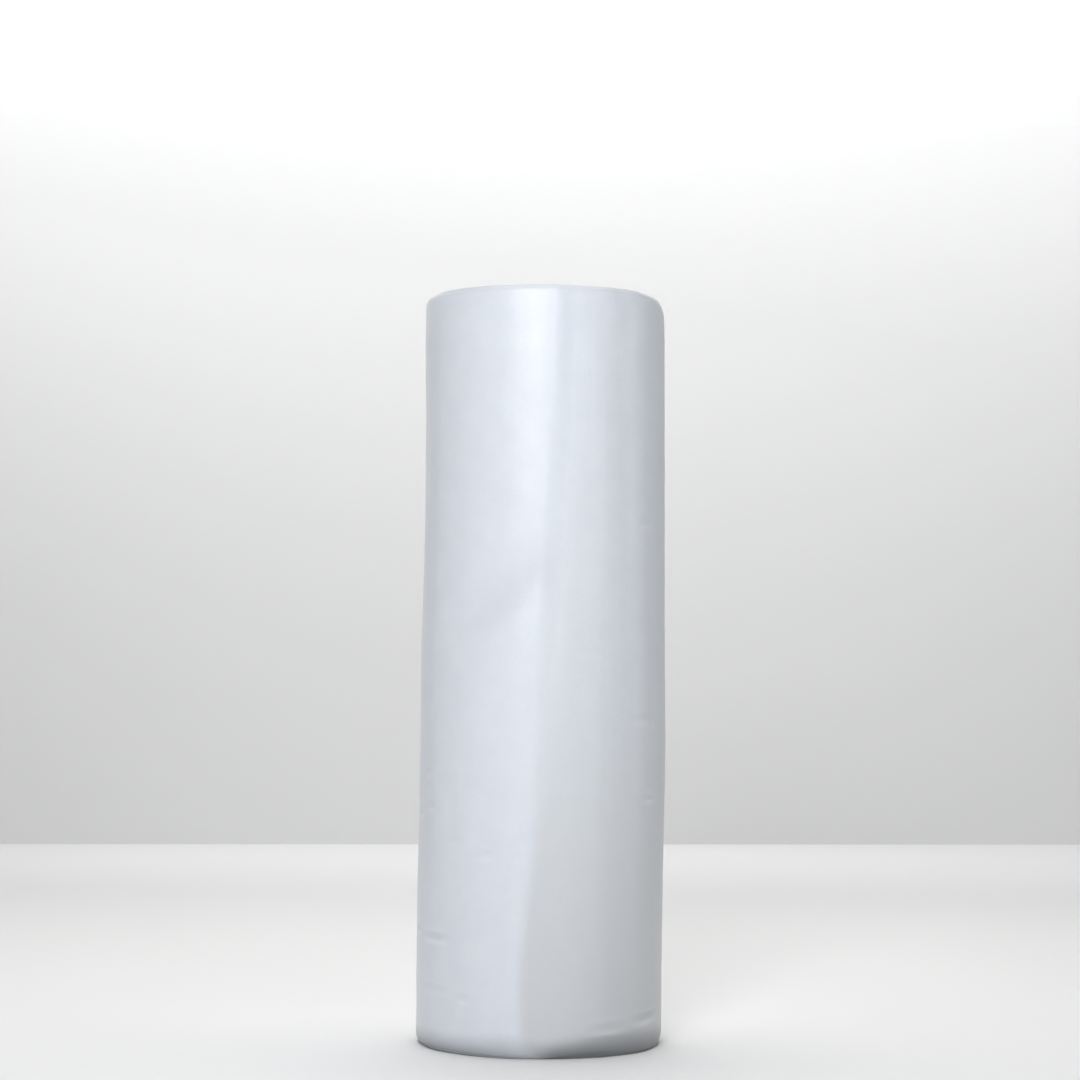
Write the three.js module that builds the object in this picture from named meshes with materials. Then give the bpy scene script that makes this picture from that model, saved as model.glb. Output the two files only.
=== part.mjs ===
// A roll of quilt batting, standing on its end. One length of white batting, folded once
// along its middle, is wound on itself without a core. Millimetres, +Z up, and the side
// that faces -Y is the front, where the outer end of the cloth lies down the roll.

import * as THREE from 'three';

// What the cloth measures.
const clothWidth = 2362; // 93 inches, before it is folded in half
const clothLength = 27432; // 30 yards
const height = clothWidth / 2;
const meanRadius = 192;
const layer = (Math.PI * meanRadius ** 2) / clothLength; // one turn of the doubled cloth

// How finely the solid is faceted.
const columns = 64;
const sideRows = 26;
const rimRows = 4;
const endWedge = 1.6 / 360; // share of a turn over which the outer end steps down

// The wound top. Only every fourth turn is shown by a furrow.
const turnsPerFurrow = 4;
const ringsPerFurrow = 3;
const furrowDepth = 3.5;
const heartRadius = 11;
const heartDip = 9;
const endBow = 4; // how far the middle of the top sinks below its rim

// The roll's outline from the floor up: its radius, and how far its middle stands to +X.
const sections = [
  { z: 0, radius: 193.2, middle: -2.8 },
  { z: 60, radius: 193.5, middle: -2.6 },
  { z: 180, radius: 193.9, middle: -2.3 },
  { z: 310, radius: 194.1, middle: -0.9 },
  { z: 435, radius: 194.4, middle: 1.0 },
  { z: 625, radius: 193.6, middle: 0.5 },
  { z: 750, radius: 191.6, middle: 1.7 },
  { z: 940, radius: 190.4, middle: 1.8 },
  { z: 1100, radius: 190.8, middle: 0.4 },
  { z: height, radius: 190.4, middle: -0.1 },
];

// Where the outer end of the cloth lies, in degrees to the right of the front.
const outerEnd = [
  { z: 0, angle: -3 },
  { z: 60, angle: -6 },
  { z: 180, angle: -5 },
  { z: 390, angle: 1 },
  { z: 560, angle: 5 },
  { z: 770, angle: 8 },
  { z: 975, angle: 12 },
  { z: height, angle: 15 },
];

// The top edge, by degrees round the roll from the outer end: how far it lies below the
// full height, and how far its rounding reaches inward and down.
const topEdge = [
  { past: 0, below: 0.1, inward: 10, down: 11 },
  { past: 30, below: 0.0, inward: 12, down: 13 },
  { past: 55, below: 0.0, inward: 17, down: 20 },
  { past: 80, below: 0.4, inward: 24, down: 38 },
  { past: 130, below: 2.0, inward: 16, down: 20 },
  { past: 190, below: 3.0, inward: 12, down: 14 },
  { past: 245, below: 3.0, inward: 10, down: 15 },
  { past: 285, below: 1.4, inward: 11, down: 14 },
  { past: 320, below: 0.2, inward: 11, down: 12 },
  { past: 360, below: 0.1, inward: 10, down: 11 },
];

// The bottom edge in the same way: how far it is tucked inward, and from what height.
const bottomEdge = [
  { past: 0, inward: 6, up: 22 },
  { past: 30, inward: 7, up: 32 },
  { past: 65, inward: 6, up: 32 },
  { past: 95, inward: 9, up: 22 },
  { past: 150, inward: 13, up: 17 },
  { past: 210, inward: 12, up: 15 },
  { past: 270, inward: 9, up: 13 },
  { past: 310, inward: 9, up: 11 },
  { past: 360, inward: 7, up: 8 },
];

// Soft lengthwise ridges between the flats that the wound cloth settles into.
const ridges = [
  { angle: -58, width: 9, rise: 1.1 },
  { angle: -17, width: 10, rise: 0.9 },
  { angle: 29, width: 8, rise: 1.3 },
  { angle: 54, width: 7, rise: 1.2 },
  { angle: 98, width: 10, rise: 1.1 },
  { angle: 141, width: 9, rise: 0.9 },
  { angle: 186, width: 11, rise: 1.3 },
  { angle: 238, width: 9, rise: 1.0 },
];

// Broad dents and bulges: the middle of each, its half height and half width, and its
// depth, which is negative for a bulge. Lean is how far it climbs to the right.
const dents = [
  { z: 690, angle: -27, tall: 48, wide: 19, lean: 1.5, depth: 3.4 }, // left of the middle
  { z: 770, angle: -12, tall: 42, wide: 16, lean: 1.2, depth: 1.6 }, // its upper tail
  { z: 52, angle: 46, tall: 12, wide: 22, lean: 0.5, depth: -2.6 }, // above the tuck
  { z: 250, angle: 150, tall: 70, wide: 22, lean: -0.8, depth: 2.6 }, // low at the back
  { z: 860, angle: -140, tall: 80, wide: 24, lean: 0.9, depth: 2.8 }, // high at the back
];

const radians = THREE.MathUtils.degToRad;
const mix = THREE.MathUtils.lerp;

// Reads one column of a table smoothly between its rows.
function read(table, place, key, value) {
  const last = table.length - 1;
  const found = table.findIndex((row) => row[key] >= place);
  const high = found < 0 ? last : Math.max(found, 1);
  const [before, low, next, after] = [high - 2, high - 1, high, high + 1].map(
    (i) => table[THREE.MathUtils.clamp(i, 0, last)],
  );
  const span = next[key] - low[key];
  const slopeLow = (next[value] - before[value]) / (next[key] - before[key]);
  const slopeNext = (after[value] - low[value]) / (after[key] - low[key]);
  const t = THREE.MathUtils.clamp((place - low[key]) / span, 0, 1);
  const blend = t * t * (3 - 2 * t);
  const ease = slopeLow * t * (1 - t) ** 2 - slopeNext * t * t * (1 - t);
  return mix(low[value], next[value], blend) + span * ease;
}

// The nearest way round from one direction to another, in degrees.
function turnBetween(from, to) {
  return THREE.MathUtils.euclideanModulo(to - from + 180, 360) - 180;
}

// A soft hump that is 1 in its middle and falls away over its width.
function hump(distance, width) {
  return Math.exp(-((distance / width) ** 2));
}

// How far the ridges, dents and bulges move the surface out at one place.
function relief(angle, z) {
  const raised = ridges.map((r) => r.rise * hump(turnBetween(r.angle, angle), r.width));
  const pressed = dents.map((d) => {
    const aside = turnBetween(d.angle, angle);
    return -d.depth * hump(aside, d.wide) * hump(z - d.z - d.lean * aside, d.tall);
  });
  return [...raised, ...pressed].reduce((sum, part) => sum + part, 0);
}

// The radius where a share of the last turn has been wound, counted from the outer end.
function radiusAt(wound, angle, z) {
  return read(sections, z, 'z', 'radius') + layer * (wound - 0.5) + relief(angle, z);
}

function angleAt(wound, z) {
  return read(outerEnd, z, 'z', 'angle') + 360 * wound;
}

// A point that lies a distance inside the roll's surface, at a height of its own.
function pointAt(wound, z, inset = 0) {
  const angle = angleAt(wound, z);
  const r = radiusAt(wound, angle, z) - inset;
  const x = read(sections, z, 'z', 'middle') + r * Math.sin(radians(angle));
  return new THREE.Vector3(x, -r * Math.cos(radians(angle)), z);
}

const wounds = Array.from({ length: columns }, (_, j) => (j / (columns - 1)) * (1 - endWedge));

// The surface from the top edge down to the floor, a row of points for each level.
function wallRows() {
  const rows = [];
  const addRow = (place) => rows.push(wounds.map(place));
  const edgesAt = (wound) => ({
    top: height - read(topEdge, 360 * wound, 'past', 'below'),
    inward: read(topEdge, 360 * wound, 'past', 'inward'),
    down: read(topEdge, 360 * wound, 'past', 'down'),
    tuck: read(bottomEdge, 360 * wound, 'past', 'inward'),
    up: read(bottomEdge, 360 * wound, 'past', 'up'),
  });
  for (let k = 0; k < rimRows; k++) {
    const turn = (k / rimRows) * (Math.PI / 2);
    addRow((wound) => {
      const edge = edgesAt(wound);
      const z = edge.top - edge.down * (1 - Math.cos(turn));
      return pointAt(wound, z, edge.inward * (1 - Math.sin(turn)));
    });
  }
  for (let k = 0; k <= sideRows; k++) {
    addRow((wound) => {
      const edge = edgesAt(wound);
      return pointAt(wound, mix(edge.top - edge.down, edge.up, k / sideRows));
    });
  }
  for (let k = 1; k <= rimRows; k++) {
    const turn = (k / rimRows) * (Math.PI / 2);
    addRow((wound) => {
      const edge = edgesAt(wound);
      return pointAt(wound, edge.up * (1 - Math.sin(turn)), edge.tuck * (1 - Math.cos(turn)));
    });
  }
  return rows;
}

// The wound top, as rings that follow the spiral from the heart out to the rim, which is
// not among them. A ring that ends at the last column goes on, one furrow further out, at
// the first.
function topRings(rim) {
  const reach = rim.map((point) => Math.hypot(point.x, point.y));
  const furrows = Math.round((reach[0] - heartRadius) / (layer * turnsPerFurrow));
  const pitch = (reach[0] - heartRadius) / furrows;
  const bandStart = furrows - 1;
  const ringAt = (turn) =>
    wounds.map((wound, j) => {
      const evenRim = reach[0] + layer * wound;
      const bandInner = reach[0] - pitch * (1 - wound);
      const even =
        turn < bandStart
          ? heartRadius + (turn + wound) * pitch
          : mix(bandInner, evenRim, turn - bandStart);
      const share = (even / evenRim) * mix(1, evenRim / reach[j], 1 - (even / evenRim) ** 2);
      const level = mix(height - endBow, rim[j].z, share ** 2);
      const furrow = Number.isInteger(turn) ? furrowDepth : 0;
      const dip = heartDip * hump(even, 2 * heartRadius);
      return new THREE.Vector3(rim[j].x * share, rim[j].y * share, level - furrow - dip);
    });
  return Array.from({ length: furrows * ringsPerFurrow }, (_, i) => ringAt(i / ringsPerFurrow));
}

// Gathers points and faces into one closed body.
class Body {
  constructor() {
    this.points = [];
    this.faces = [];
  }

  addPoint(point) {
    this.points.push(point.x, point.y, point.z);
    return this.points.length / 3 - 1;
  }

  addRow(row) {
    return row.map((point) => this.addPoint(point));
  }

  addQuad(a, b, c, d) {
    this.faces.push(a, b, c, a, c, d);
  }

  // Joins a ring of points to one in its middle.
  addFan(middle, ring) {
    ring.forEach((corner, k) => this.faces.push(middle, corner, ring[(k + 1) % ring.length]));
  }

  geometry() {
    const made = new THREE.BufferGeometry();
    made.setAttribute('position', new THREE.Float32BufferAttribute(this.points, 3));
    made.setIndex(this.faces);
    made.computeVertexNormals();
    return made;
  }
}

function rollGeometry() {
  const body = new Body();
  const rows = wallRows();
  const rings = topRings(rows[0]);
  const wall = rows.map((row) => body.addRow(row));
  const top = [...rings.map((ring) => body.addRow(ring)), wall[0]];

  wall.slice(1).forEach((lower, k) => {
    const upper = wall[k];
    lower.forEach((corner, j) => {
      const next = (j + 1) % columns;
      body.addQuad(upper[j], corner, lower[next], upper[next]);
    });
  });

  const last = columns - 1;
  for (let i = 0; i + 1 < top.length; i++) {
    for (let j = 0; j < last; j++) {
      body.addQuad(top[i][j], top[i + 1][j], top[i + 1][j + 1], top[i][j + 1]);
    }
    const over = i + ringsPerFurrow;
    if (over + 1 < top.length) {
      body.addQuad(top[i][last], top[i + 1][last], top[over + 1][0], top[over][0]);
    }
  }
  for (let k = 0; k < ringsPerFurrow; k++) {
    const outer = top.length - 1 - ringsPerFurrow + k;
    body.faces.push(top[outer][last], top[outer + 1][last], top.at(-1)[0]);
    body.faces.push(top[0][last], top[k + 1][0], top[k][0]);
  }
  const heart = new THREE.Vector3(0, 0, rings[0][0].z - heartDip / 3);
  body.addFan(body.addPoint(heart), top[0]);

  const foot = wall.at(-1);
  body.addFan(body.addPoint(new THREE.Vector3(0, 0, 0)), [...foot].reverse());
  return body.geometry();
}

// Stands the roll over the origin, in the middle of its own outline.
function centred(geometry) {
  geometry.computeBoundingBox();
  const middle = geometry.boundingBox.getCenter(new THREE.Vector3());
  return geometry.translate(-middle.x, -middle.y, 0);
}

const batting = new THREE.MeshStandardMaterial({ color: 0xdfe4ec, roughness: 0.85, metalness: 0 });

const battingRoll = new THREE.Mesh(centred(rollGeometry()), batting);
battingRoll.name = 'batting_roll';

const part = new THREE.Group();
part.add(battingRoll);

export default part;
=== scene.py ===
# A roll of quilt batting standing on its end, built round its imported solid.
# Sizes are in millimetres and angles in degrees, unless a note says otherwise.

import math

import bmesh
import bpy
import numpy as np
from mathutils import Matrix, Vector, noise


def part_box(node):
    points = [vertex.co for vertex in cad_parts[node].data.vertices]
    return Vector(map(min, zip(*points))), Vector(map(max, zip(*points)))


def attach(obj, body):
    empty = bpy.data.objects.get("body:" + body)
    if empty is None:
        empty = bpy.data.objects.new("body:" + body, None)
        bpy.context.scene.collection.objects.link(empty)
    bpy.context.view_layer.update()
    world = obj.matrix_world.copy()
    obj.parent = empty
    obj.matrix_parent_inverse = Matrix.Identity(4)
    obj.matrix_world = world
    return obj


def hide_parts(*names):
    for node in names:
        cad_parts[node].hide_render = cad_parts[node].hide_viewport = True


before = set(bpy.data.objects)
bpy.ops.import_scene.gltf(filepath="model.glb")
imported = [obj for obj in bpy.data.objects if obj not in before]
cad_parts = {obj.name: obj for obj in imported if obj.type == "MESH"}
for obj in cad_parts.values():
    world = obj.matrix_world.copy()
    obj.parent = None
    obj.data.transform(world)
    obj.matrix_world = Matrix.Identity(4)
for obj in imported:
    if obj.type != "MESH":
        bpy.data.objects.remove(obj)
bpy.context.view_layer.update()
rollLow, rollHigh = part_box("batting_roll")
mm = 0.001  # Blender works in metres
height = rollHigh.z / mm
print(f"Frame loaded: the roll stands {height:.0f} mm tall")


# How the cloth is wound. A turn is one turn of the doubled cloth, so it has two plies.
winding = {
    "clothLength": 27432,  # thirty yards
    "meanRadius": 192,
    "outerTurns": 5,  # turns in the outer piece, and the rest are in the inner one
    "ringsPerTurn": 6,
    "outerColumns": 268,
    "innerColumns": 190,
    "frontCrowding": 0.3,  # how much closer the columns stand in front than on average
    "taperLength": 34,  # over which the cloth thins out to its outer end
    "taperColumns": 14,
    "shortOfTaper": 0.997,  # the other columns stop just before the taper
    "shortOfEnd": 0.02,  # share of the taper by which the last column stops before the end
    "lip": 0.05,  # share of the cloth's thickness left at the very end
    "heartRadius": 6,
}
pitch = math.pi * winding["meanRadius"] ** 2 / winding["clothLength"]
taperShare = winding["taperLength"] / (2 * math.pi * winding["meanRadius"])

# The outline from the floor up, and where the outer end of the cloth lies.
sections = {
    "z": [0, 60, 180, 310, 435, 625, 750, 940, 1100, 1181],
    "radius": [193.2, 193.5, 193.9, 194.1, 194.4, 193.6, 191.6, 190.4, 190.8, 190.4],
    "middle": [-2.8, -2.6, -2.3, -0.9, 1.0, 0.5, 1.7, 1.8, 0.4, -0.1],
}
outerEnd = {
    "z": [0, 60, 180, 390, 560, 770, 975, 1181],
    "angle": [-3, -6, -5, 1, 5, 8, 12, 15],
}

# The rounded edges, by degrees past the outer end. Undercut is 0 for a round edge and 1
# for a straight one.
topEdge = {
    "past": [0, 30, 55, 80, 130, 190, 245, 285, 320, 360],
    "below": [0.1, 0, 0, 0.4, 2, 3, 3, 1.4, 0.2, 0.1],
    "inward": [10, 12, 17, 24, 16, 12, 10, 11, 11, 10],
    "down": [11, 13, 20, 38, 20, 14, 15, 14, 12, 11],
}
bottomEdge = {
    "past": [0, 14, 30, 50, 70, 95, 150, 210, 270, 310, 345, 360],
    "inward": [4, 5, 5, 4, 4, 6, 12, 12, 9, 9, 8, 7],
    "up": [10, 19, 29, 29, 26, 20, 17, 15, 17, 20, 14, 11],
    "undercut": [0.2, 0.7, 1, 1, 0.9, 0.5, 0.2, 0.1, 0.1, 0.4, 0.2, 0.1],
}


# Reads one column of a table smoothly between its rows.
def readTable(table, key, column, place):
    keys = np.array(table[key], float)
    values = np.array(table[column], float)
    last = len(keys) - 1
    before = np.maximum(np.arange(last + 1) - 1, 0)
    after = np.minimum(np.arange(last + 1) + 1, last)
    slopes = (values[after] - values[before]) / (keys[after] - keys[before])
    place = np.clip(place, keys[0], keys[-1])
    high = np.clip(np.searchsorted(keys, place), 1, last)
    low = high - 1
    span = keys[high] - keys[low]
    share = (place - keys[low]) / span
    blend = share * share * (3 - 2 * share)
    ease = slopes[low] * share * (1 - share) ** 2 - slopes[high] * share**2 * (1 - share)
    return values[low] + (values[high] - values[low]) * blend + span * ease


# The nearest way round from one direction to another.
def turnBetween(start, end):
    return (end - start + 180) % 360 - 180


def hump(distance, width):
    return np.exp(-((distance / width) ** 2))


def smooth(share):
    share = np.clip(share, 0, 1)
    return share * share * (3 - 2 * share)


def softNoise(x, y, z):
    x, y, z = np.broadcast_arrays(x, y, z)
    flat = zip(x.ravel(), y.ravel(), z.ravel())
    return np.array([noise.noise(p) for p in flat]).reshape(x.shape)


# Soft lengthwise ridges between the flats that the wound cloth settles into.
ridges = {
    "angle": [-58, -17, 29, 52, 98, 141, 186, 238],
    "width": [9, 10, 8, 7, 10, 9, 11, 9],
    "rise": [1.9, 0.9, 1.2, 1.6, 1.1, 0.9, 1.3, 1.0],
}
# Broad dents, and bulges where the depth is below nothing. Lean is in millimetres up for
# each degree to the right, and the last column is how much painted shade darkens the middle of
# one.
dents = {
    "z": [682, 722, 46, 20, 250, 860],
    "angle": [-29, -6, 44, 54, 150, -140],
    "tall": [42, 44, 12, 24, 70, 80],
    "wide": [19, 12, 22, 24, 22, 24],
    "lean": [1.8, 1.6, 0.5, 0, -0.8, 0.9],
    "depth": [5.5, 1.2, -3.2, -5, 3.6, 3.6],
    "shadeTone": [0.045, 0.08, 0, 0, 0.03, 0.03],
}


def dentsAt(angle, z, what):
    total = 0 * angle
    for i, place in enumerate(dents["angle"]):
        aside = turnBetween(place, angle)
        up = z - dents["z"][i] - dents["lean"][i] * aside
        share = hump(aside, dents["wide"][i]) * hump(up, dents["tall"][i])
        total = total + dents[what][i] * share
    return total


def reliefAt(angle, z):
    rise = 0 * angle
    for middle, width, up in zip(*ridges.values()):
        rise = rise + up * hump(turnBetween(middle, angle), width)
    return rise - dentsAt(angle, z, "depth")


# Small creases, each a trough with a raised lip above it. Lean is how steeply it climbs
# to the right. The last six are on the far side, which the photograph doesn't show.
creases = [
    {"angle": -65, "z": 429, "length": 34, "lean": 0, "depth": 1.2, "width": 4.0, "lip": 0.6},
    {"angle": -61, "z": 379, "length": 38, "lean": 1, "depth": 1.5, "width": 4.2, "lip": 0.8},
    {"angle": -76, "z": 365, "length": 44, "lean": 3, "depth": 1.8, "width": 4.4, "lip": 1.0},
    {"angle": -43, "z": 329, "length": 50, "lean": -5, "depth": 0.5, "width": 4.4, "lip": 0.2},
    {"angle": -25, "z": 308, "length": 42, "lean": -1, "depth": 1.2, "width": 4.0, "lip": 0.5},
    {"angle": -11, "z": 307, "length": 40, "lean": -1, "depth": 0.4, "width": 3.8, "lip": 0.2},
    {"angle": -57, "z": 177, "length": 90, "lean": -1, "depth": 2.8, "width": 4.3, "lip": 1.6},
    {"angle": -77, "z": 183, "length": 50, "lean": -1, "depth": 1.8, "width": 4.2, "lip": 1.2},
    {"angle": -56, "z": 98, "length": 86, "lean": -2, "depth": 1.1, "width": 4.2, "lip": 0.6},
    {"angle": -37, "z": 89, "length": 30, "lean": -3, "depth": 1.1, "width": 3.8, "lip": 0.4},
    {"angle": 58, "z": 54.5, "length": 96, "lean": 4, "depth": 2.9, "width": 4.6, "lip": 0.9},
    {"angle": 33, "z": 46, "length": 96, "lean": 3, "depth": 1.8, "width": 5.0, "lip": 0.4},
    {"angle": 56, "z": 819, "length": 50, "lean": 0, "depth": 1.0, "width": 6, "lip": 0.4},
    {"angle": 22, "z": 618, "length": 56, "lean": -4, "depth": 0.5, "width": 5, "lip": 0.2},
    {"angle": 54, "z": 515, "length": 84, "lean": -2, "depth": 1.0, "width": 6, "lip": 0.3},
    {"angle": 59, "z": 394, "length": 48, "lean": 0, "depth": 1.5, "width": 4.4, "lip": 0.7},
    {"angle": 112, "z": 214, "length": 82, "lean": -4, "depth": 1.9, "width": 4.8, "lip": 1.2},
    {"angle": 150, "z": 118, "length": 100, "lean": 3, "depth": 2.0, "width": 5.0, "lip": 1.0},
    {"angle": 176, "z": 334, "length": 70, "lean": 1, "depth": 1.4, "width": 4.6, "lip": 0.7},
    {"angle": -146, "z": 152, "length": 94, "lean": -3, "depth": 2.3, "width": 5.0, "lip": 1.4},
    {"angle": -121, "z": 268, "length": 68, "lean": 2, "depth": 1.6, "width": 4.6, "lip": 0.8},
    {"angle": -104, "z": 92, "length": 80, "lean": -2, "depth": 1.8, "width": 4.8, "lip": 1.0},
]
creaseLip = {"above": 2.1, "width": 1.3}  # both in widths of the trough


def creasesAt(angle, z):
    rise = 0 * angle
    for crease in creases:
        aside = np.radians(turnBetween(crease["angle"], angle)) * winding["meanRadius"]
        up = z - crease["z"]
        lean = math.radians(crease["lean"])
        along = aside * math.cos(lean) + up * math.sin(lean)
        across = up * math.cos(lean) - aside * math.sin(lean)
        fade = np.clip(1 - (2 * along / crease["length"]) ** 2, 0, 1) ** 1.5
        width = crease["width"]
        lip = hump(across - creaseLip["above"] * width, creaseLip["width"] * width)
        rise = rise - crease["depth"] * fade * hump(across, width)
        rise = rise + crease["lip"] * fade * lip
    return rise


# Gentle unevenness, which makes the tables above look like soft cloth.
unevenness = {
    "streakWidth": 22,  # lengthwise bands
    "streakHeight": 420,
    "streakRise": 0.35,
    "fineWidth": 9,
    "fineHeight": 300,
    "fineRise": 0.13,
    "pillowSize": 40,
    "pillowRise": 0.45,
}


def unevenAt(angle, z):
    x = winding["meanRadius"] * np.sin(np.radians(angle))
    y = winding["meanRadius"] * np.cos(np.radians(angle))
    # The whole numbers keep the three patterns apart.
    width, tall = unevenness["streakWidth"], unevenness["streakHeight"]
    streaks = softNoise(x / width, y / width, z / tall)
    width, tall = unevenness["fineWidth"], unevenness["fineHeight"]
    fine = softNoise(x / width, y / width + 5, z / tall)
    size = unevenness["pillowSize"]
    pillows = softNoise(x / size + 7, y / size, z / size)
    rise = unevenness["streakRise"] * streaks + unevenness["fineRise"] * fine
    return rise + unevenness["pillowRise"] * pillows


# Painted shade on the turn that comes out from under the outer end: it is darkened a little
# there, most of all near the floor.
shadedTurn = {
    "z": [0, 120, 250, 400, 600, 900, 1181],
    "amount": [1, 0.95, 0.85, 0.7, 0.45, 0.24, 0.1],
    "past": [-6, 2, 90, 190],  # grows over the first two angles and fades over the last two
    "spread": [0, 0, 0, 2, 5, 8, 9],  # how many degrees more it grows over, each way
}
# Painted shade darkens both edges, fading out over the reach from the floor or top.
# A much fainter painted shade goes further up from the floor.
footShade = {
    "past": [0, 5, 11, 20, 31, 41, 57, 79, 100, 180, 277, 303, 319, 336, 345, 353, 360],
    "reach": [38, 34, 36, 42, 50, 54, 52, 46, 34, 22, 34, 40, 38, 40, 44, 44, 40],
    "amount": [
        0.42, 0.66, 0.88, 0.92, 0.9, 0.82, 0.82, 0.82, 0.76,
        0.6, 0.64, 0.63, 0.6, 0.58, 0.54, 0.5, 0.42,
    ],
    "faintShade": [
        0.04, 0.035, 0.035, 0.045, 0.07, 0.1, 0.12, 0.09, 0.05,
        0.04, 0.09, 0.06, 0.045, 0.04, 0.04, 0.05, 0.045,
    ],
    "faintShadeTop": 560,
    "under": [8, 34],  # fades out over this much of the underside, from its edge inwards
}
rimShade = {
    "past": [0, 40, 80, 120, 200, 300, 360],
    "reach": [10, 13, 22, 16, 10, 12, 10],
    "amount": [0.14, 0.24, 0.34, 0.26, 0.14, 0.2, 0.14],
    "across": 14,
}
# Painted shade darkens a crease along its upper side, and a painted highlight whitens
# the cloth below the crease and on its lip.
creaseShading = {
    "shadeAbove": 3.5,
    "shadePerDepth": 0.045,  # for each millimetre of depth
    "highlightBelow": 8.5,
    "highlightPerDepth": 0.22,
    "highlightPerLip": 0.14,
}
skin = 6  # how far in the tones of the side reach


# How much painted shade and painted highlight the cloth gets at each point.
def gradeCloth(points):
    x, y, z = points.T / mm
    x = x - readTable(sections, "z", "middle", z)
    angle = np.degrees(np.arctan2(x, -y))
    past = (angle - readTable(outerEnd, "z", "angle", z) + 60) % 360 - 60
    # Painted shade on the turn past the outer end.
    start, full, fading, gone = shadedTurn["past"]
    spread = readTable(shadedTurn, "z", "spread", z)
    share = smooth((past - start + spread) / (full - start + 2 * spread))
    share = share * smooth((gone - past) / (gone - fading))
    turnShade = share * readTable(shadedTurn, "z", "amount", z)

    past = past % 360
    # Painted shade at the foot and the top rim, and a fainter painted shade further up from the
    # floor.
    inside = readTable(sections, "z", "radius", z) - np.hypot(x, y)
    near, far = footShade["under"]
    fading = 1 - smooth(z / readTable(footShade, "past", "reach", past))
    fading = fading * (1 - smooth((inside - near) / (far - near)))
    foot = readTable(footShade, "past", "amount", past) * fading
    faintShade = readTable(footShade, "past", "faintShade", past) * (1 - smooth(z / footShade["faintShadeTop"]))
    fading = 1 - smooth((height - z) / readTable(rimShade, "past", "reach", past))
    fading = fading * (1 - smooth(inside / rimShade["across"]))
    rim = readTable(rimShade, "past", "amount", past) * fading
    outside = inside < skin
    # Painted shade along the upper side of each crease and in the dents.
    troughs = np.clip(-creasesAt(angle, z - creaseShading["shadeAbove"]), 0, None) * outside
    faint = (faintShade + dentsAt(angle, z, "shadeTone")) * outside
    paintedShade = np.maximum(foot, rim) + faint + creaseShading["shadePerDepth"] * troughs

    # Painted highlight below each crease and on its lip.
    above = np.clip(-creasesAt(angle, z + creaseShading["highlightBelow"]), 0, None)
    lips = np.clip(creasesAt(angle, z), 0, None)
    paintedHighlight = creaseShading["highlightPerDepth"] * above + creaseShading["highlightPerLip"] * lips
    return turnShade, np.clip(paintedShade, 0, 1), np.clip(paintedHighlight, 0, 1) * outside


# How thick the outermost turn is, which thins out towards its end.
def outerThickness(wound):
    share = smooth((wound - 1 + taperShare) / taperShare)
    return pitch * (1 - (1 - winding["lip"]) * share)


# The distance from the middle at so many turns inside the surface.
def radiusAt(wound, turns, z, relief):
    inner = readTable(sections, "z", "radius", z) + pitch * (wound - 1.5) + relief
    within = outerThickness(wound) * (1 - turns)
    return inner + np.where(turns < 1, within, pitch * (1 - turns))


def angleAt(wound, z):
    return readTable(outerEnd, "z", "angle", z) + 360 * wound


def placeAt(wound, radius, z):
    angle = np.radians(angleAt(wound, z))
    x = readTable(sections, "z", "middle", z) + radius * np.sin(angle)
    return np.stack([x, -radius * np.cos(angle), z + 0 * angle], axis=-1)


# Where the columns stand round the roll, as shares of a turn from the outer end.
def columnPlaces(count):
    even = np.linspace(0, 1, count - winding["taperColumns"])
    places = even - winding["frontCrowding"] * np.sin(2 * np.pi * even) / (2 * np.pi)
    left = np.linspace(1, winding["shortOfEnd"], winding["taperColumns"])
    places = places * (1 - taperShare) * winding["shortOfTaper"]
    return np.concatenate([places, 1 - taperShare * left])


# The wound ends. Cut edges show on top, a fold for each turn underneath.
windingEnds = {
    "turnGroove": 3.0,
    "plyGroove": 1.4,
    "foldGroove": 1.5,
    "looseness": 1.5,  # how much deeper the grooves get where the winding is loose
    "drift": 3.2,  # how unevenly the turns stand
    "driftTurns": 2.2,
    "driftGain": 1.6,
    "driftRound": 0.5,  # how much the drift changes round each turn
    "driftSink": 0.3,
    "looseSeed": 11.3,
    "driftSeed": 3.7,
    # Painted shade in the grooves between turns and between plies
    "grooveShade": 0.34,
    "plyShade": 0.4,  # as a share of the painted shade between turns
    "undercutCurve": 1.15,
    "bow": 4,
    "heartDip": 8,
    "heartReach": 20,
    "heartPoint": 2,
    "gap": 0.15,  # between the outer piece and the inner one
}


# Slow changes along the cloth, from about -1 to 1, that differ with each seed.
def alongCloth(turnNumber, wound, seed):
    turning = np.radians(360 * wound)
    reach = windingEnds["driftRound"]
    along = (turnNumber + 1 - wound) / windingEnds["driftTurns"]
    changes = softNoise(along, seed + reach * np.cos(turning), reach * np.sin(turning))
    return windingEnds["driftGain"] * changes
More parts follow.
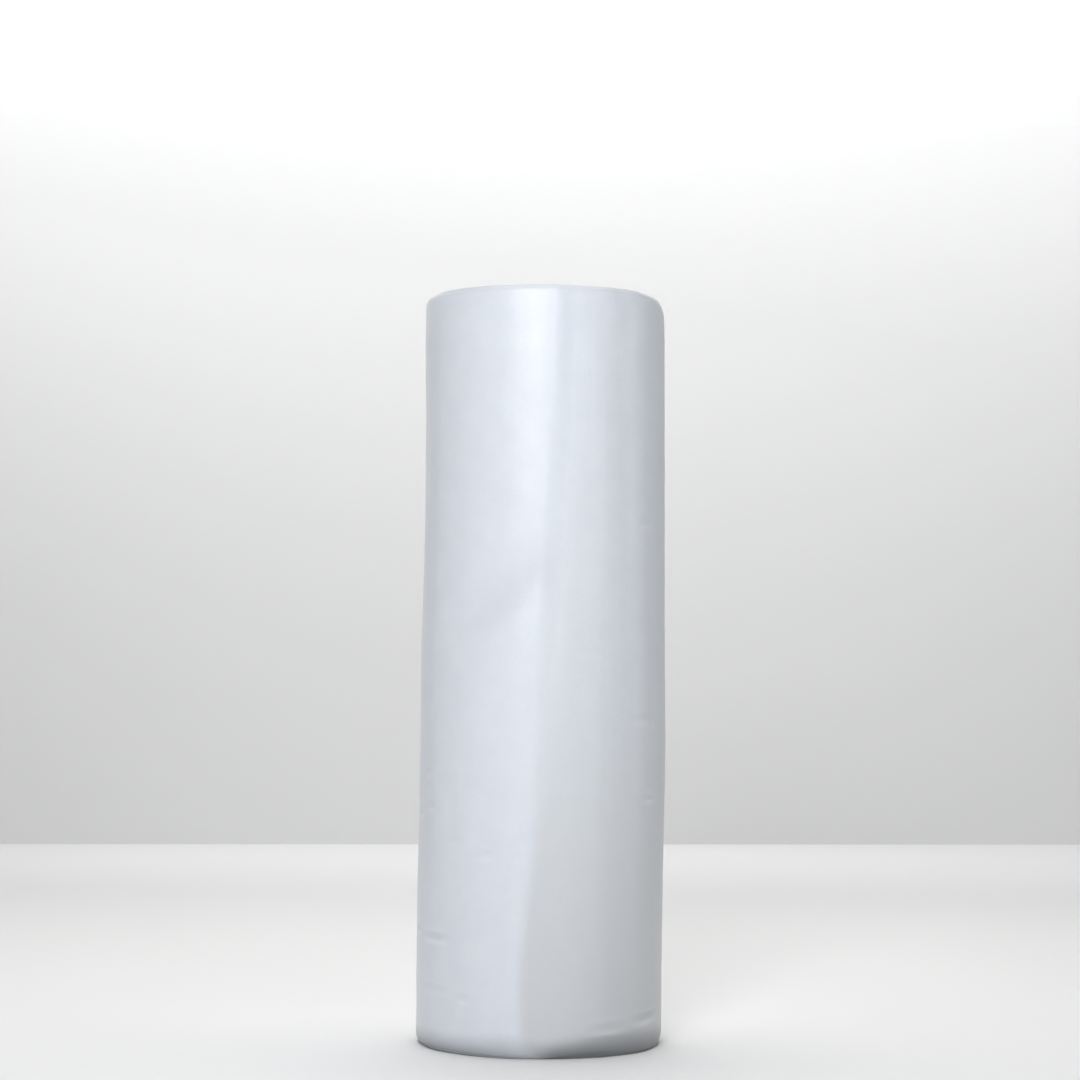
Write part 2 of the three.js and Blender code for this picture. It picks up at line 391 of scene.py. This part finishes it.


# The points of one wound end, a row for each ring from the first turn to the last, and
# how much painted shade each one gets.
def endRings(wound, firstTurn, lastTurn, onTop):
    perTurn = winding["ringsPerTurn"]
    index = np.arange(firstTurn * perTurn, lastTurn * perTurn + 1)[:, None]
    turns = index / perTurn
    wound = wound[None, :]
    level = height if onTop else 0.0
    angle = angleAt(wound, level)
    relief = reliefAt(angle, level) + unevenAt(angle, level + 0 * angle)
    outer = radiusAt(wound, 0.0, level, relief)
    calm = np.clip(1 - pitch * turns / winding["meanRadius"], 0, 1) ** 2
    inset = outer - radiusAt(wound, turns, level, relief)
    table = topEdge if onTop else bottomEdge
    past = 360 * wound
    inward = readTable(table, "past", "inward", past)
    left = np.clip(1 - inset / inward, 0, 1)
    roundness = 1 - np.sqrt(1 - left**2)
    onFlat = smooth(inset / inward)
    part = (index % perTurn) / perTurn
    groove = (1 - np.abs(np.sin(np.pi * part))) ** 2
    split = (1 - np.abs(np.cos(np.pi * part))) ** 2
    # The row between two turns takes the mean of both.
    thisTurn, turnBefore = index // perTurn, (index - 1) // perTurn
    loose, drift = [
        (alongCloth(thisTurn, wound, seed) + alongCloth(turnBefore, wound, seed)) / 2
        for seed in (windingEnds["looseSeed"], windingEnds["driftSeed"])
    ]
    loose = groove * (1 + windingEnds["looseness"] * np.clip(loose, 0, 1))
    if onTop:
        z = height - readTable(table, "past", "below", past)
        z = z - readTable(table, "past", "down", past) * roundness
        z = z - onFlat * (windingEnds["turnGroove"] * loose + windingEnds["plyGroove"] * split)
        z = z + onFlat * windingEnds["drift"] * (drift - windingEnds["driftSink"])
        radius = radiusAt(wound, turns, z, relief * calm)
        z = z - windingEnds["bow"] * onFlat * (1 - (radius / winding["meanRadius"]) ** 2)
        z = z - windingEnds["heartDip"] * hump(radius, windingEnds["heartReach"])
        # Painted shade in the grooves between turns and plies.
        shadeTone = windingEnds["grooveShade"] * onFlat * (loose + windingEnds["plyShade"] * split)
    else:
        undercut = readTable(table, "past", "undercut", past)
        straight = left ** windingEnds["undercutCurve"]
        shape = roundness * (1 - undercut) + undercut * straight
        z = readTable(table, "past", "up", past) * shape
        z = z + onFlat * windingEnds["foldGroove"] * groove
        radius = radiusAt(wound, turns, z, relief * calm)
        # Painted shade in the grooves of the folds.
        shadeTone = windingEnds["grooveShade"] * onFlat * groove
    return placeAt(wound, radius, z), shadeTone + 0 * radius


# The rows of the side lie closer together low down, where most of the creases are.
sideSpacing = {"z": [0, 430, 520, 1181], "gap": [2.7, 2.8, 6.6, 6.6]}


# The heights of the rows, as shares of the way from the lower edge to the upper.
def rowShares():
    heights = [0.0]
    while heights[-1] < height:
        gap = np.interp(heights[-1], sideSpacing["z"], sideSpacing["gap"])
        heights.append(heights[-1] + gap)
    return np.array(heights) / heights[-1]


# The side's points, from the top row down. Each row goes round the roll and then in
# across the cut end of the cloth to where it started.
def sideRows(wound):
    perTurn = winding["ringsPerTurn"]
    step = np.arange(1, perTurn + 1) / perTurn
    wound = np.concatenate([wound, np.full(perTurn, wound[-1])])[None, :]
    turns = np.concatenate([np.zeros(wound.shape[1] - perTurn), step])[None, :]
    past = 360 * wound
    low = readTable(bottomEdge, "past", "up", past)
    high = height - readTable(topEdge, "past", "below", past)
    high = high - readTable(topEdge, "past", "down", past)
    z = low + (high - low) * rowShares()[::-1, None]
    angle = angleAt(wound, z)
    relief = reliefAt(angle, z) + creasesAt(angle, z) + unevenAt(angle, z)
    return placeAt(wound, radiusAt(wound, turns, z, relief), z)


sharpAngle = 70  # an edge that turns more than this is shaded sharp


# A piece in the making: its points, the painted shade of each of them, and its faces.
class Body:
    def __init__(self):
        self.points = []
        self.grooveShades = []
        self.faces = []

    def addRows(self, rows, grooveShades=None):
        start = len(self.points)
        self.points.extend(map(tuple, rows.reshape(-1, 3)))
        self.grooveShades.extend(np.zeros(rows[..., 0].size) if grooveShades is None else grooveShades.ravel())
        return start + np.arange(rows.shape[0] * rows.shape[1]).reshape(rows.shape[:2])

    def addBands(self, rows):
        for upper, lower in zip(rows, rows[1:]):
            quads = zip(lower, np.roll(lower, -1), np.roll(upper, -1), upper)
            self.faces.extend([tuple(map(int, quad)) for quad in quads])

    # Rings that follow the spiral: each goes on, behind the outer end, as a later ring.
    def addSpiral(self, rings):
        perTurn = winding["ringsPerTurn"]
        last = len(rings) - 1
        for outer, inner in zip(rings, rings[1:]):
            quads = zip(outer[:-1], outer[1:], inner[1:], inner[:-1])
            self.faces.extend([tuple(map(int, quad)) for quad in quads])
        for i in range(last - perTurn):
            later = i + perTurn
            quad = (rings[later][-1], rings[i][0], rings[i + 1][0], rings[later + 1][-1])
            self.faces.append(tuple(map(int, quad)))

    def addFan(self, loop, middle):
        self.points.append(tuple(middle))
        self.grooveShades.append(0)
        centre = len(self.points) - 1
        for k, corner in enumerate(loop):
            self.faces.append((int(corner), int(loop[(k + 1) % len(loop)]), centre))

    def makeObject(self, name, shift):
        mesh = bpy.data.meshes.new(name)
        mesh.from_pydata([(Vector(p) + shift) * mm for p in self.points], [], self.faces)
        shape = bmesh.new()
        shape.from_mesh(mesh)
        bmesh.ops.recalc_face_normals(shape, faces=shape.faces)
        shape.to_mesh(mesh)
        shape.free()
        mesh.shade_smooth()
        mesh.set_sharp_from_angle(angle=math.radians(sharpAngle))
        # Painted shade and painted highlight at each point, with the grooves' painted shade
        # added.
        turnShade, paintedShade, paintedHighlight = gradeCloth(np.array([v.co for v in mesh.vertices]))
        paintedShade = np.clip(paintedShade + np.array(self.grooveShades), 0, 1)
        grades = {"turnShade": turnShade, "paintedHighlight": paintedHighlight, "paintedShade": paintedShade}
        for grade, values in grades.items():
            mesh.attributes.new(grade, "FLOAT", "POINT").data.foreach_set("value", values)
        made = bpy.data.objects.new(name, mesh)
        bpy.context.scene.collection.objects.link(made)
        triangles = sum(len(p.vertices) - 2 for p in mesh.polygons)
        print(f"{name}: {len(mesh.polygons)} faces, {triangles} triangles")
        return made


def outerLoop(rings):
    return np.concatenate([rings[0], rings[1 : winding["ringsPerTurn"] + 1, -1]])


def innerLoop(rings):
    perTurn = winding["ringsPerTurn"]
    return np.concatenate([rings[-1 - perTurn : -1, 0], rings[-1]])


# The outer turns: the whole side with its rounded edges.
def makeOuterTurns():
    body = Body()
    wound = columnPlaces(winding["outerColumns"])
    top = body.addRows(*endRings(wound, 0, winding["outerTurns"], True))
    bottom = body.addRows(*endRings(wound, 0, winding["outerTurns"], False))
    side = body.addRows(sideRows(wound)[1:-1])
    body.addSpiral(top)
    body.addSpiral(bottom)
    body.addBands([outerLoop(top), *side, outerLoop(bottom)])
    body.addBands([innerLoop(top), innerLoop(bottom)])
    return body


# The inner turns, which show only on the two ends.
def makeInnerTurns():
    body = Body()
    wound = columnPlaces(winding["innerColumns"])
    lastTurn = int((winding["meanRadius"] - winding["heartRadius"]) / pitch)
    loops = []
    for onTop in (True, False):
        rings, grooveShades = endRings(wound, winding["outerTurns"], lastTurn, onTop)
        away = rings[0, :, :2] / np.linalg.norm(rings[0, :, :2], axis=1)[:, None]
        rings[0, :, :2] -= windingEnds["gap"] * away
        index = body.addRows(rings, grooveShades)
        body.addSpiral(index)
        dip = windingEnds["heartPoint"] * (1 if onTop else -1)
        body.addFan(innerLoop(index), rings[-1].mean(axis=0) - [0, 0, dip])
        loops.append(outerLoop(index))
    body.addBands(loops)
    return body


outerBody = makeOuterTurns()
points = np.array(outerBody.points)
ownMiddle = (points.min(axis=0) + points.max(axis=0)) / 2
frameMiddle = (rollLow + rollHigh) / 2 / mm
shift = Vector((frameMiddle.x - ownMiddle[0], frameMiddle.y - ownMiddle[1], 0))
outerTurns = outerBody.makeObject("outerTurns", shift)
innerTurns = makeInnerTurns().makeObject("innerTurns", shift)


def linearColour(code):
    parts = [int(code[i : i + 2], 16) / 255 for i in (1, 3, 5)]
    return [c / 12.92 if c <= 0.04045 else ((c + 0.055) / 1.055) ** 2.4 for c in parts] + [1]


def addNode(tree, kind, settings=None, links=None):
    node = tree.nodes.new(kind)
    for key, value in (settings or {}).items():
        if key in node.inputs:
            node.inputs[key].default_value = value
        else:
            setattr(node, key, value)
    for key, source in (links or {}).items():
        tree.links.new(source, node.inputs[key])
    return node


# Resin-bonded polyester wadding, needled. The fibres scatter light, so it is a matt,
# slightly blue white with a soft bloom at its edges, and the light film of resin gives
# it a faint satin gleam along the roll.
wadding = {
    "colour": "#E3E7EE",
    "thinColour": "#E0E4EC",  # where the web is thinner
    # Painted shade on the turn past the outer end
    "turnShadeColour": "#D1D3D6",
    # Painted highlight below the creases and on their lips
    "paintedHighlightColour": "#F6F8FB",
    # Painted shade at the edges, creases, dents and grooves
    "paintedShadeColour": "#6B6D6F",
    "roughness": 0.4,
    "ior": 1.57,  # polyester
    "sheen": 0.15,
    "sheenRoughness": 0.5,
    "tuftSize": 6,  # real fibres are 0.03 wide, so they are drawn as tufts, down to 0.8
    "tuftDepth": 0.4,
    "cloudSize": 38,
    "thinShare": [0.35, 0.65],  # of the clouds, from all one colour to all the other
}


def makeWadding():
    material = bpy.data.materials.new("needledPolyesterWadding")
    material.use_nodes = True
    tree = material.node_tree
    tree.nodes.clear()
    place = addNode(tree, "ShaderNodeTexCoord").outputs["Object"]
    tuftScale = 1 / (wadding["tuftSize"] * mm)
    fibres = addNode(
        tree,
        "ShaderNodeTexNoise",
        {"Scale": tuftScale, "Detail": 3, "Roughness": 0.6, "Distortion": 1.6},
        {"Vector": place},
    )
    clouds = addNode(
        tree,
        "ShaderNodeTexNoise",
        {"Scale": 1 / (wadding["cloudSize"] * mm), "Detail": 5, "Roughness": 0.55},
        {"Vector": place},
    )
    low, high = wadding["thinShare"]
    thin = addNode(
        tree,
        "ShaderNodeMapRange",
        {"From Min": low, "From Max": high},
        {"Value": clouds.outputs[0]},
    )
    bump = addNode(
        tree,
        "ShaderNodeBump",
        {"Strength": 1, "Distance": wadding["tuftDepth"] * mm},
        {"Height": fibres.outputs[0]},
    )
    # Inputs 6 and 7 of a colour mix are its two colours, and output 2 is the mixed one.
    colour = addNode(
        tree,
        "ShaderNodeMix",
        {"data_type": "RGBA"},
        {"Factor": thin.outputs[0]},
    )
    colour.inputs[6].default_value = linearColour(wadding["thinColour"])
    colour.inputs[7].default_value = linearColour(wadding["colour"])
    clothColour = colour.outputs[2]
    # Painted shade past the outer end, painted highlight by the creases, and painted shade at
    # the edges, creases, dents and grooves are mixed into the cloth's colour.
    for grade in ("turnShade", "paintedHighlight", "paintedShade"):
        share = addNode(tree, "ShaderNodeAttribute", {"attribute_name": grade})
        graded = addNode(
            tree,
            "ShaderNodeMix",
            {"data_type": "RGBA"},
            {"Factor": share.outputs["Fac"]},
        )
        tree.links.new(clothColour, graded.inputs[6])
        graded.inputs[7].default_value = linearColour(wadding[grade + "Colour"])
        clothColour = graded.outputs[2]
    surface = addNode(
        tree,
        "ShaderNodeBsdfPrincipled",
        {
            "Roughness": wadding["roughness"],
            "IOR": wadding["ior"],
            "Sheen Weight": wadding["sheen"],
            "Sheen Roughness": wadding["sheenRoughness"],
        },
        {"Base Color": clothColour, "Normal": bump.outputs[0]},
    )
    addNode(tree, "ShaderNodeOutputMaterial", {}, {"Surface": surface.outputs[0]})
    return material


waddingMaterial = makeWadding()
for piece in (outerTurns, innerTurns):
    piece.data.materials.append(waddingMaterial)
    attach(piece, "root")
    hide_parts("batting_roll")
print("The roll is dressed")


# The studio, in metres: a pale floor and a plain wall behind.
studio = {
    "floorColour": "#F0F0F0",
    "wallColour": "#DCDCDC",
    "floorHalf": 14,
    "wallBehind": 4.4,
    "wallTurn": 5.5,
    "wallTop": 6,
    "roughness": 0.9,
}


def makeSlab(name, corners, code):
    material = bpy.data.materials.new(name + "Paint")  # matt emulsion
    material.use_nodes = True
    shader = material.node_tree.nodes["Principled BSDF"]
    shader.inputs["Base Color"].default_value = linearColour(code)
    shader.inputs["Roughness"].default_value = studio["roughness"]
    mesh = bpy.data.meshes.new(name)
    mesh.from_pydata(corners, [], [(0, 1, 2, 3)])
    mesh.materials.append(material)
    made = bpy.data.objects.new(name, mesh)
    bpy.context.scene.collection.objects.link(made)


half, top = studio["floorHalf"], studio["wallTop"]
turned = half * math.tan(math.radians(studio["wallTurn"]))
leftY, rightY = studio["wallBehind"] - turned, studio["wallBehind"] + turned
floorCorners = [(-half, -half, 0), (half, -half, 0), (half, rightY, 0), (-half, leftY, 0)]
wallCorners = [(-half, leftY, 0), (half, rightY, 0), (half, rightY, top), (-half, leftY, top)]
makeSlab("floor", floorCorners, studio["floorColour"])
makeSlab("wall", wallCorners, studio["wallColour"])

# The lights, in metres and watts. Each faces the point that it aims at.
lamps = [
    {
        "name": "keyLight", "at": (-0.45, -3.0, 1.9), "aim": (0, 0, 1.6), "size": (0.8, 0.6),
        "power": 57.4, "spread": 180, "colour": "#FDFEFF",
    },
    {
        "name": "rightLight", "at": (1.8, -3.2, 1.4), "aim": (0, 0, 0.6), "size": (1.5, 1.5),
        "power": 13.4, "spread": 180, "colour": "#EBF8FF",
    },
    {
        "name": "leftLight", "at": (-3.0, -1.9, 1.3), "aim": (0, 0, 0.7), "size": (1.5, 2.0),
        "power": 3.4, "spread": 180, "colour": "#D8EEFF",
    },
    {
        "name": "backLight", "at": (0, 3.6, 3.0), "aim": (0, 0, 0.5), "size": (3, 1.5),
        "power": 30, "spread": 180, "colour": "#FFFFFF",
    },
    {
        "name": "floorLight", "at": (0, 0.7, 4.2), "aim": (0, 0.7, 0), "size": (4, 1.8),
        "power": 28.2, "spread": 100, "colour": "#FFFDFB",
    },
    {
        "name": "wallLight", "at": (0, 1.2, 4.6), "aim": (0, 4.4, 3.2), "size": (8, 0.8),
        "power": 132, "spread": 100, "colour": "#FFFFFF",
    },
]


def makeLamp(lamp):
    light = bpy.data.lights.new(lamp["name"], "AREA")
    light.shape = "RECTANGLE"
    light.size, light.size_y = lamp["size"]
    light.energy = lamp["power"]
    light.spread = math.radians(lamp["spread"])
    light.color = linearColour(lamp["colour"])[:3]
    made = bpy.data.objects.new(lamp["name"], light)
    made.visible_camera = False
    made.location = lamp["at"]
    facing = Vector(lamp["aim"]) - Vector(lamp["at"])
    made.rotation_euler = facing.to_track_quat("-Z", "Y").to_euler()
    bpy.context.scene.collection.objects.link(made)


for lamp in lamps:
    makeLamp(lamp)

ambient = {"colour": "#FFFFFF", "strength": 0.2}
world = bpy.data.worlds.new("studioAir")
world.use_nodes = True
background = world.node_tree.nodes["Background"]
background.inputs["Color"].default_value = linearColour(ambient["colour"])
background.inputs["Strength"].default_value = ambient["strength"]
bpy.context.scene.world = world

# The camera stands as the photograph's did: level with the middle of the roll, a little
# over four metres away, and looking slightly up. It has no shift.
view = {
    "distance": 4.232,  # metres
    "eyeHeight": 0.61,
    "lens": 88.45,
    "sensor": 36,
    "tiltUp": 2.5,
    "turnLeft": 0.073,
    "rollRight": 0.41,
}
camera = bpy.data.cameras.new("camera")
camera.lens = view["lens"]
camera.sensor_width = view["sensor"]
cameraObject = bpy.data.objects.new("camera", camera)
place = Matrix.Translation((0, -view["distance"], view["eyeHeight"]))
turning = Matrix.Rotation(math.radians(view["turnLeft"]), 4, "Z")
tilting = Matrix.Rotation(math.radians(90 + view["tiltUp"]), 4, "X")
leaning = Matrix.Rotation(math.radians(view["rollRight"]), 4, "Z")
cameraObject.matrix_world = place @ turning @ tilting @ leaning
bpy.context.scene.collection.objects.link(cameraObject)
bpy.context.scene.camera = cameraObject
bpy.context.scene.view_settings.view_transform = "Standard"
print("Studio, lights and camera are in place")
